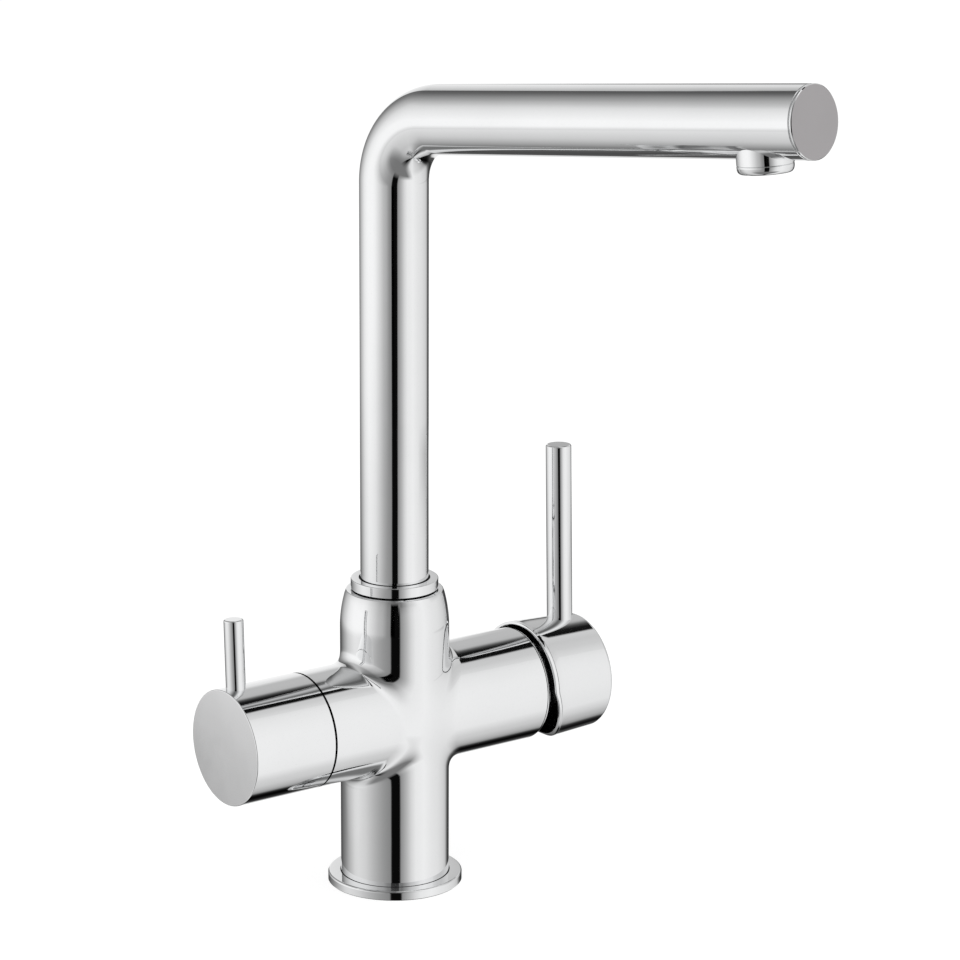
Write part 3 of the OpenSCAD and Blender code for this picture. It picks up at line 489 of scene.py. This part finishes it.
# The column's shoulder, its broken edge, its top face and the socket for the spout
shoulder_w = 0.0024
shoulder_h = 0.016
shoulder_steps = 12
shoulder_edge = 0.0005
shoulder_edge_steps = 4
shoulder_z = body_high.z - shoulder_h
lean_in = 2 * atan2(shoulder_w, shoulder_h)
shoulder_r = shoulder_h / sin(lean_in)
socket_low, socket_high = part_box("spout_bush")
profile = [(shoulder_z, column_r)]
profile += [(shoulder_z + shoulder_r * sin(a), column_r - shoulder_r * (1 - cos(a)))
            for a in (lean_in * i / shoulder_steps for i in range(1, shoulder_steps))]
profile += [(body_high.z - shoulder_edge * (1 - sin(a)),
             column_r - shoulder_w - shoulder_edge * (1 - cos(a)))
            for a in (pi / 2 * i / shoulder_edge_steps for i in range(shoulder_edge_steps + 1))]
profile += [(body_high.z, socket_high.x), (socket_low.z, socket_high.x)]
pick(crossing, lambda p: p.z > barrel_z + crossing_up - near)
ring_z, ring_r = barrel_z + crossing_up, column_r
for z, r in profile:
    draw_ring((0, 0, z), (0, 0, z - ring_z), r / ring_r, (1, 1, 0))
    ring_z, ring_r = z, r
bpy.ops.mesh.edge_face_add()

# The column's foot
pick(crossing, lambda p: p.z < barrel_z - crossing_up + near)
draw_ring((0, 0, 0), (0, 0, crossing_up - barrel_z), 1, (1, 1, 0))
bpy.ops.mesh.edge_face_add()

# The barrel's open ends, bored for the mixer cartridge and the filter valve. A fine groove
# is turned before the mixer end's rounding.
barrel_round = 0.0022
round_steps = 8
groove = 0.00018
groove_x = body_high.x - barrel_round
round_r = barrel_round - groove
nut_low, nut_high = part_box("mixer_ring_nut")
filter_bore_r = 0.0105
filter_bore_l = 0.004
mixer_end = [(groove_x - groove, barrel_r), (groove_x, barrel_r - groove)]
mixer_end += [(body_high.x - round_r * (1 - sin(a)), barrel_r - round_r * (1 - cos(a)))
              for a in (pi / 2 * i / round_steps for i in range(round_steps + 1))]
mixer_end += [(body_high.x, nut_high.y), (nut_low.x, nut_high.y)]
filter_end = [(-body_low.x, barrel_r), (-body_low.x, filter_bore_r),
              (-body_low.x - filter_bore_l, filter_bore_r)]
for side, profile in ((1, mixer_end), (-1, filter_end)):
    pick(crossing, lambda p: side * p.x > crossing_out - near)
    ring_x, ring_r = crossing_out, barrel_r
    for x, r in profile:
        draw_ring((side * x, 0, barrel_z), (side * (x - ring_x), 0, 0), r / ring_r, (0, 1, 1))
        ring_x, ring_r = x, r
    bpy.ops.mesh.edge_face_add()
close_up()

# The drilled inlets and the stud's hole in the underside
drill_sides = 48
for hole in frame["record"]["mounts"]:
    if hole["kind"] != "threaded_hole":
        continue
    x, y, z = hole["pos_m"]
    drill = start(bpy.ops.mesh.primitive_cylinder_add, vertices=drill_sides,
                  radius=hole["dims"]["r_mm"] / 1000,
                  depth=2 * hole["dims"]["length_mm"] / 1000, location=(x, y, 0))
    bpy.ops.object.mode_set(mode="OBJECT")
    apply(crossing, "BOOLEAN", object=drill, operation="DIFFERENCE", solver="EXACT")
    bpy.data.objects.remove(drill)
casting = polish(crossing, "casting", mirror_finish)


def in_groove(centre, normal):
    """True for the faces of the fine groove, whose centres are half way down."""
    depth = barrel_r - sqrt(centre.y ** 2 + (centre.z - barrel_z) ** 2)
    return abs(centre.x - groove_x) < groove and abs(depth - groove / 2) < 0.3 * groove


# The fine groove's faces get painted shade: a near-black finish that stands for the shade in it
face_finish(casting, painted_shade, in_groove)
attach(casting, "tap")
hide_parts("tap_body")

# The base flange
# A turned brass ring round the foot of the column, chrome plated, with its upper edge
# rounded and a fine joint against the column, darkened with painted shade. It hides the
# rubber gasket.
full_turn = 160


def turned(outline, place=Matrix(), closed=False, sides=full_turn):
    """Turns a piece on the lathe from its outline of (radius, length) along Z, and puts it
    in place. A closed outline gives a ring, an open one a solid piece with flat ends."""
    radius, length = outline[0]
    piece = start(bpy.ops.mesh.primitive_circle_add, vertices=sides, radius=radius,
                  fill_type="NOTHING" if closed else "NGON", location=(0, 0, length))
    bpy.ops.object.mode_set(mode="OBJECT")
    bpy.ops.object.transform_apply(location=True, rotation=True, scale=True)
    bpy.ops.object.mode_set(mode="EDIT")
    bpy.ops.mesh.select_all(action="SELECT")
    for next_radius, next_length in outline[1:] + (outline[:1] if closed else []):
        step = (0, 0, next_length - length)
        bpy.ops.mesh.extrude_edges_move(TRANSFORM_OT_translate={"value": step})
        widen = next_radius / radius
        bpy.ops.transform.resize(value=(widen, widen, 1), center_override=(0, 0, next_length))
        radius, length = next_radius, next_length
    if not closed:
        bpy.ops.mesh.edge_face_add()
    close_up()
    piece.matrix_world = place
    bpy.ops.object.transform_apply(location=True, rotation=True, scale=True)
    return piece


def arc(radius, length, round_r, steps=6):
    """The rounded outer edge of a turned face: points up to the face at the given length."""
    angles = [pi / 2 * i / steps for i in range(steps + 1)]
    return [(radius - round_r * (1 - cos(a)), length - round_r * (1 - sin(a))) for a in angles]


flange_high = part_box("base_flange")[1]
flange_r, flange_h = flange_high.x, flange_high.z
flange_round = 0.0009
foot_chamfer = 0.0003
joint_gap = 0.00035
flange = turned([(column_r, 0), (flange_r - foot_chamfer, 0), (flange_r, foot_chamfer)]
                + arc(flange_r, flange_h, flange_round)
                + [(column_r + joint_gap, flange_h), (column_r, flange_h - joint_gap)],
                closed=True)
flange = polish(flange, "flange", mirror_finish)
# The faces in the joint get painted shade: near black, where the gap would lie in shade
face_finish(flange, painted_shade,
            lambda centre, normal: sqrt(centre.x ** 2 + centre.y ** 2) < column_r + joint_gap)
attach(flange, "tap")
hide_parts("base_flange")

# The spout's collar
# A turned and plated ring, screwed into the casting's top face. It holds the spout down
# and guides its tube, with fine gaps below and inside it whose faces carry painted shade.
collar_low, collar_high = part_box("spout_collar")
collar_r, collar_top = collar_high.x, collar_high.z
tube_r = -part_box("spout_tube")[0].x
collar_edge = 0.0004
collar_gap = 0.00035
collar_neck_r = collar_r - shoulder_w / 2
gap_z = body_high.z + collar_gap
wiper_gap = 0.0007
wiper_z = collar_top - collar_edge
collar = turned([(tube_r, collar_low.z), (collar_neck_r, collar_low.z), (collar_neck_r, gap_z),
                 (collar_r - collar_edge, gap_z), (collar_r, gap_z + collar_edge)]
                + arc(collar_r, collar_top, collar_edge, 4)
                + [(tube_r + wiper_gap, collar_top), (tube_r + wiper_gap / 2, wiper_z),
                   (tube_r, wiper_z)], closed=True)
collar = polish(collar, "collar", mirror_finish)
# The faces under the collar and in the gap round the tube get painted shade, near black
face_finish(collar, painted_shade, lambda centre, normal: centre.z < gap_z + near
            or sqrt(centre.x ** 2 + centre.y ** 2) < tube_r + wiper_gap)
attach(collar, "tap")
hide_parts("spout_collar")

# The spout's tube
# A brass tube of 28 mm, bent once to a tight radius, polished and chrome plated. It
# turns in the casting, and its arm rises a little towards the outlet.
arm_turn = radians(11)
arm_rise = radians(6.4)
arm_z = 0.3201
arm_l = 0.2112
bend_r = 0.028
bend_steps = 40
tube_wall = 0.0012
tube_edge = 0.0004
cap_h = 0.0009
cap_groove = 0.0005
tube_end = arm_l - cap_h - cap_groove
bend_turn = pi / 2 - arm_rise
bend_l = bend_r * sin(bend_turn / 2) / cos(bend_turn / 2)
bend_start = arm_z - bend_l
arm_plane = Matrix.Rotation(arm_turn - pi / 2, 4, "Z")
arm_frame = (arm_plane @ Matrix.Translation((0, 0, arm_z))
             @ Matrix.Rotation(bend_turn, 4, "Y"))
tube_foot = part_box("spout_tube")[0].z
tube = start(bpy.ops.mesh.primitive_circle_add, vertices=full_turn, radius=tube_r,
             fill_type="NOTHING", location=(0, 0, tube_foot))
bpy.ops.object.mode_set(mode="OBJECT")
bpy.ops.object.transform_apply(location=True, rotation=True, scale=True)
bpy.ops.object.mode_set(mode="EDIT")
bpy.ops.mesh.select_all(action="SELECT")
upright = (0, 0, bend_start - tube_foot)
bpy.ops.mesh.extrude_edges_move(TRANSFORM_OT_translate={"value": upright})
pick(tube, lambda p: p.z > bend_start - near)
bpy.ops.mesh.spin(steps=bend_steps, angle=bend_turn, center=(bend_r, 0, bend_start),
                  axis=(0, -1, 0), dupli=False)
run_l = tube_end - bend_l
run = (cos(arm_rise) * run_l, 0, sin(arm_rise) * run_l)
bpy.ops.mesh.extrude_edges_move(TRANSFORM_OT_translate={"value": run})
close_up()
apply(tube, "SOLIDIFY", thickness=tube_wall, offset=-1, use_even_offset=True)
tube.matrix_world = arm_plane
bpy.ops.object.transform_apply(location=True, rotation=True, scale=True)
tube = polish(tube, "spout_pipe", mirror_finish, edge=tube_edge)
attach(tube, "spout")
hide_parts("spout_tube")

# The spout's end cap
# A disc pressed into the arm's end. Its face is satin, its rim has a fine bright
# chamfer, and a narrow shadow groove parts it from the tube.
cap_neck_r = tube_r - tube_wall / 2
cap_back = arm_l - cap_h
cap_chamfer = 0.0003
cap_break = cap_chamfer / 4
cap_satin = satin("cap_satin", (0.5, 0.483, 0.489), 0.38, 0.000004)
end_cap = turned([(cap_neck_r, tube_end), (cap_neck_r, cap_back), (tube_r - cap_break, cap_back),
                  (tube_r, cap_back + cap_break), (tube_r, arm_l - cap_chamfer),
                  (tube_r - cap_chamfer, arm_l)], arm_frame)
end_cap = polish(end_cap, "end_cap", mirror_finish)
arm_way = arm_frame.to_3x3() @ Vector((0, 0, 1))
straight = 0.99
face_finish(end_cap, cap_satin, lambda centre, normal: normal.dot(arm_way) > straight)
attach(end_cap, "spout")
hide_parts("spout_end_cap")

# The outlet boss and the aerator
# A short plated boss is soldered under the arm's end. The aerator's ring screws into
# it, with a fine seam between them, and is drawn in towards its mouth.
outlet_s = 0.187
outlet_r = 0.01075
outlet_drop = 0.0155
outlet_sides = 96
boss_root = 0.006
seam = 0.0002
outlet_frame = (arm_frame @ Matrix.Translation((0, 0, outlet_s))
                @ Matrix.Rotation(pi / 2, 4, "Y"))
boss = turned([(outlet_r, boss_root), (outlet_r, outlet_drop - seam),
               (outlet_r - seam, outlet_drop)], outlet_frame, sides=outlet_sides)
boss = polish(boss, "boss", mirror_finish)
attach(boss, "spout")
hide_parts("outlet_boss")

aerator_h = 0.0032
aerator_taper = 0.0014
aerator_round_share = 0.8
aerator_edge = 0.00012
mouth_r = 0.0064
ring_foot = outlet_drop + aerator_h
aerator_round = aerator_h * aerator_round_share
side = [(outlet_r - aerator_taper * (1 - cos(a)), ring_foot - aerator_round * (1 - sin(a)))
        for a in (pi / 2 * i / round_steps for i in range(round_steps + 1))]
aerator = turned([(mouth_r, outlet_drop), (outlet_r - seam, outlet_drop),
                  (outlet_r, outlet_drop + seam), *side, (mouth_r, ring_foot)],
                 outlet_frame, closed=True, sides=outlet_sides)
aerator = polish(aerator, "aerator_ring", mirror_finish, edge=aerator_edge)
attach(aerator, "spout")
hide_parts("aerator_housing")

# The filter knob and its lever
# A hollow plated knob, as wide as the barrel, is held on the valve's spindle by a grub
# screw. Its face is satin, and a thin plated pin is screwed into its rim as a lever.
filter_frame = Matrix.Translation((0, 0, barrel_z)) @ Matrix.Rotation(-pi / 2, 4, "Y")
knob_low, knob_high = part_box("filter_knob")
knob_face, knob_start = -knob_low.x, -knob_high.x
knob_edge = 0.0004
knob_edge_steps = 5
knob_crown = 0.0005
crown_steps = 10
knob_wall = 0.0018
knob_depth = 0.035
knob_bore_r = barrel_r - knob_wall
knob_floor = knob_start + knob_depth
knob_hub_r = 0.008
knob_satin = satin("knob_satin", (0.84, 0.84, 0.845), 0.2, 0.000003)
crown_r = barrel_r - knob_edge
crown = [(crown_r * (1 - i / crown_steps), knob_face - knob_crown * (1 - i / crown_steps) ** 2)
         for i in range(1, crown_steps)]
knob = turned([(knob_hub_r, knob_floor), (knob_bore_r, knob_floor), (knob_bore_r, knob_start),
               (barrel_r - knob_edge / 2, knob_start), (barrel_r, knob_start + knob_edge / 2)]
              + arc(barrel_r, knob_face - knob_crown, knob_edge, knob_edge_steps)
              + crown + [(knob_edge, knob_face)], filter_frame)
knob = polish(knob, "knob", mirror_finish)
face_finish(knob, knob_satin, lambda centre, normal: normal.x < -straight
            and centre.x < -knob_face + knob_crown + near)
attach(knob, "filter_control")
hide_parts("filter_knob")

pin_r = 0.004
pin_sides = 64
pin_lean = radians(2.4)
pin_inset = 0.0068
pin_reach = 0.0524
pin_root = 0.0172
pin_round = 0.0007
pin_frame = (Matrix.Translation((pin_inset - knob_face, 0, barrel_z))
             @ Matrix.Rotation(-pin_lean, 4, "X"))
pin = turned([(pin_r, pin_root)] + arc(pin_r, pin_reach, pin_round), pin_frame, sides=pin_sides)
pin = polish(pin, "knob_lever", mirror_finish)
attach(pin, "filter_control")
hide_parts("filter_lever")

# The mixer's cup, its lever and the dome under it
# A thin plated cup, tapered towards its closed end, sits on the cartridge's stem. Its
# lower rim is relieved so that it can tilt over the barrel. A long plated rod is
# screwed into it, and a dome closes the cartridge below. The dome and the cup's inside
# are near black: painted shade for the dark inside the cup.
barrel_frame = Matrix.Translation((0, 0, barrel_z)) @ Matrix.Rotation(pi / 2, 4, "Y")
cup_low, cup_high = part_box("mixer_handle")
rim_x, cup_end = cup_low.x, cup_high.x
rim_r = cup_high.y
end_r = 0.0245
cup_wall = 0.0015
cup_round = 0.0016
cup_round_steps = 8
cup_hub_r = 0.008
cup_floor = cup_end - 2 * cup_wall
rim_edge = 0.0004
lip_l = 0.0017
lip_x = rim_x + lip_l
lip_groove = 0.00014
relief_depth = 0.012
relief_start = 0.0015
slant_share = 0.69
relief_power = 8
relief_l = 0.020
relief_root = rim_x + relief_l
taper = (rim_r - end_r) / (cup_end - cup_round - rim_x)
outside_steps = 12
outer = [(rim_r - taper * (relief_root - rim_x) * i / outside_steps,
          rim_x + (relief_root - rim_x) * i / outside_steps) for i in range(1, outside_steps + 1)]
inner = [(r - cup_wall, x) for r, x in reversed(outer)]
rim_bore_r = rim_r - cup_wall
rim = [(rim_bore_r, rim_x + rim_edge), (rim_bore_r + rim_edge, rim_x), (rim_r - rim_edge, rim_x),
       (rim_r - rim_edge / 3, rim_x + rim_edge / 3), (rim_r, rim_x + rim_edge)]
lip = [(rim_r, lip_x - lip_groove), (rim_r - lip_groove, lip_x), (rim_r, lip_x + lip_groove)]
cup = turned([(cup_hub_r, cup_floor), (end_r - cup_wall, cup_floor)] + inner + rim + lip
             + outer[1:] + arc(end_r, cup_end, cup_round, cup_round_steps), barrel_frame)
for vertex in cup.data.vertices:
    p = vertex.co
    if p.x < relief_root:
        share = min(max((barrel_z + relief_start - p.z) / (relief_start + rim_r), 0), 1)
        drawn_in = relief_depth * (slant_share * share + (1 - slant_share) * share ** relief_power)
        kept = (relief_root - p.x) / (relief_root - rim_x)
        moved = drawn_in * kept
        radius = sqrt(p.y ** 2 + (p.z - barrel_z) ** 2)
        narrow = 1 - taper * moved / radius
        vertex.co = (p.x + moved, p.y * narrow, barrel_z + (p.z - barrel_z) * narrow)
cup = polish(cup, "cup", mirror_finish)
# The cup's inner faces get painted shade: a near-black finish for the shade inside the cup
face_finish(cup, painted_shade, lambda centre, normal: centre.x < cup_floor + near
            and normal.x > -0.5
            and normal.y * centre.y + normal.z * (centre.z - barrel_z) < 0)
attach(cup, "mixer_control")
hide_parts("mixer_handle")

rod_r = 0.0054
rod_sides = 96
rod_lean = radians(1.4)
rod_inset = 0.0096
rod_reach = 0.100
rod_root = 0.0175
rod_round = 0.0008
rod_frame = (Matrix.Translation((cup_end - rod_inset, 0, barrel_z))
             @ Matrix.Rotation(-rod_lean, 4, "X"))
rod = turned([(rod_r, rod_root)] + arc(rod_r, rod_reach, rod_round), rod_frame, sides=rod_sides)
rod = polish(rod, "cup_lever", mirror_finish)
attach(rod, "mixer_control")
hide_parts("mixer_lever")


def moulded(name, tone, matt, grain):
    """Moulded plastic or rubber: an even colour with a slight mould grain."""
    finish = bpy.data.materials.new(name)
    finish.use_nodes = True
    tree = finish.node_tree
    surface = tree.nodes["Principled BSDF"]
    place = Value(tree).node("ShaderNodeTexCoord", {}, {}, "Object")
    grit = place.node("ShaderNodeTexNoise", {}, {"Vector": place, "Scale": 1500, "Detail": 3})
    cloud = place.node("ShaderNodeTexNoise", {}, {"Vector": place, "Scale": 120, "Detail": 2})
    dim_tone = tuple(0.9 * t for t in tone)
    colour = cloud.ramp(((cloud_low, dim_tone), (cloud_high, tone)))
    tree.links.new(colour.socket, surface.inputs["Base Color"])
    roughness = grit * 0.15 + matt
    tree.links.new(roughness.socket, surface.inputs["Roughness"])
    bump = grit.node("ShaderNodeBump", {}, {"Height": grit, "Strength": 1, "Distance": grain})
    tree.links.new(bump.socket, surface.inputs["Normal"])
    return finish


# Dark moulded plastic for the cartridge housing. On the dome it is painted shade, standing for the
# dark inside the cup
dark_plastic = moulded("dark_plastic", (0.012, 0.012, 0.013), 0.35, 0.00002)
dome_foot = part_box("mixer_dome")[0].x
dome_r = 0.0194
dome_mouth_r = 0.0136
dome_t = 0.0012
dome_sides = 96
dome_steps = 18
pivot_x = 0.062
foot_angle = asin((dome_foot - pivot_x) / dome_r)
mouth_angle = acos(dome_mouth_r / dome_r)
sweep = [foot_angle + (mouth_angle - foot_angle) * i / dome_steps for i in range(dome_steps + 1)]
dome_in_r = dome_r - dome_t
dome = turned([(dome_r * cos(a), pivot_x + dome_r * sin(a)) for a in sweep]
              + [(dome_in_r * cos(a), pivot_x + dome_in_r * sin(a)) for a in reversed(sweep)],
              barrel_frame, closed=True, sides=dome_sides)
# The dome's near-black finish is painted shade
dome = polish(dome, "dome", dark_plastic)
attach(dome, "tap")
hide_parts("mixer_dome")

# The works inside
# Brass valve parts, ceramic discs, moulded plastics, rubber seals and steel pins keep
# the shape of the construction and take the finish of their material.
brass = satin("raw_brass", (0.78, 0.57, 0.25), 0.22, 0.000003)
steel = satin("plain_steel", (0.52, 0.52, 0.53), 0.25, 0.000003)
ceramic = moulded("fired_ceramic", (0.82, 0.81, 0.77), 0.18, 0.000002)
white_plastic = moulded("white_plastic", (0.78, 0.78, 0.76), 0.35, 0.00001)
rubber = moulded("seal_rubber", (0.02, 0.02, 0.021), 0.6, 0.00002)
inner_works = {
    brass: ("filtered_water_nipple", "spout_bush", "filter_headwork", "filter_spindle",
            "mixer_ring_nut"),
    steel: ("mixer_stem", "mixer_pivot_pin", "mixer_grub_screw", "filter_knob_screw"),
    ceramic: ("filter_fixed_disc", "filter_moving_disc", "mixer_fixed_disc",
              "mixer_moving_disc"),
    white_plastic: ("aerator_insert", "filtered_water_hose", "spout_glide_rings",
                    "mixer_turret"),
    dark_plastic: ("mixer_cartridge_housing",),
    rubber: ("base_gasket", "aerator_washer", "spout_o_rings", "filter_valve_seal",
             "mixer_base_seals"),
}
for finish, nodes in inner_works.items():
    for node in nodes:
        slots = frame["nodes"][node].data.materials
        slots.clear()
        slots.append(finish)
